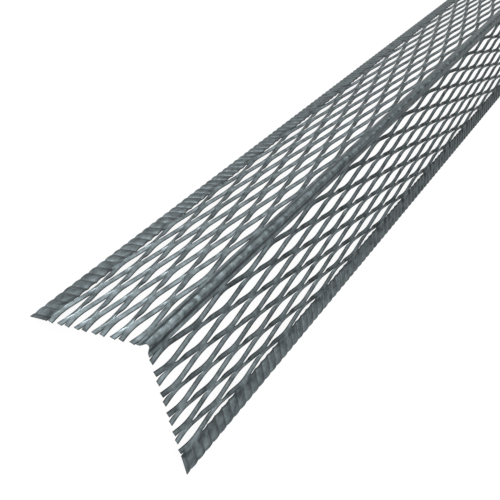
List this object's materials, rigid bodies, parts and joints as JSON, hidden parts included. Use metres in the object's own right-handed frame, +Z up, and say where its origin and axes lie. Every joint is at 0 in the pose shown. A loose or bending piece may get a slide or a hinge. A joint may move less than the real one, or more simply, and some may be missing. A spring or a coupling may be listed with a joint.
{
  "type": "drywall corner bead",
  "caption": "Expanded-metal corner bead: rounded nose between two wings of long diamond mesh with solid edge strips, for setting straight plaster or drywall corners.",
  "frame": {"origin": "under the middle of the bead, on the floor that the outer edges of both wings rest on", "axes": "+Y along the bead, away from the end that the picture shows; +X across it, towards the right wing; +Z up, through the nose"},
  "size_m": [0.0832, 1.2, 0.0499],
  "materials": {
    "galvanised_sheet": "galvanised, dull grey with a blue cast, lightly mottled"
  },
  "bodies": {
    "root": {"nose": "galvanised_sheet", "left_wing_front": "galvanised_sheet", "left_wing_back": "galvanised_sheet", "right_wing_front": "galvanised_sheet", "right_wing_back": "galvanised_sheet"}
  },
  "joints": []
}
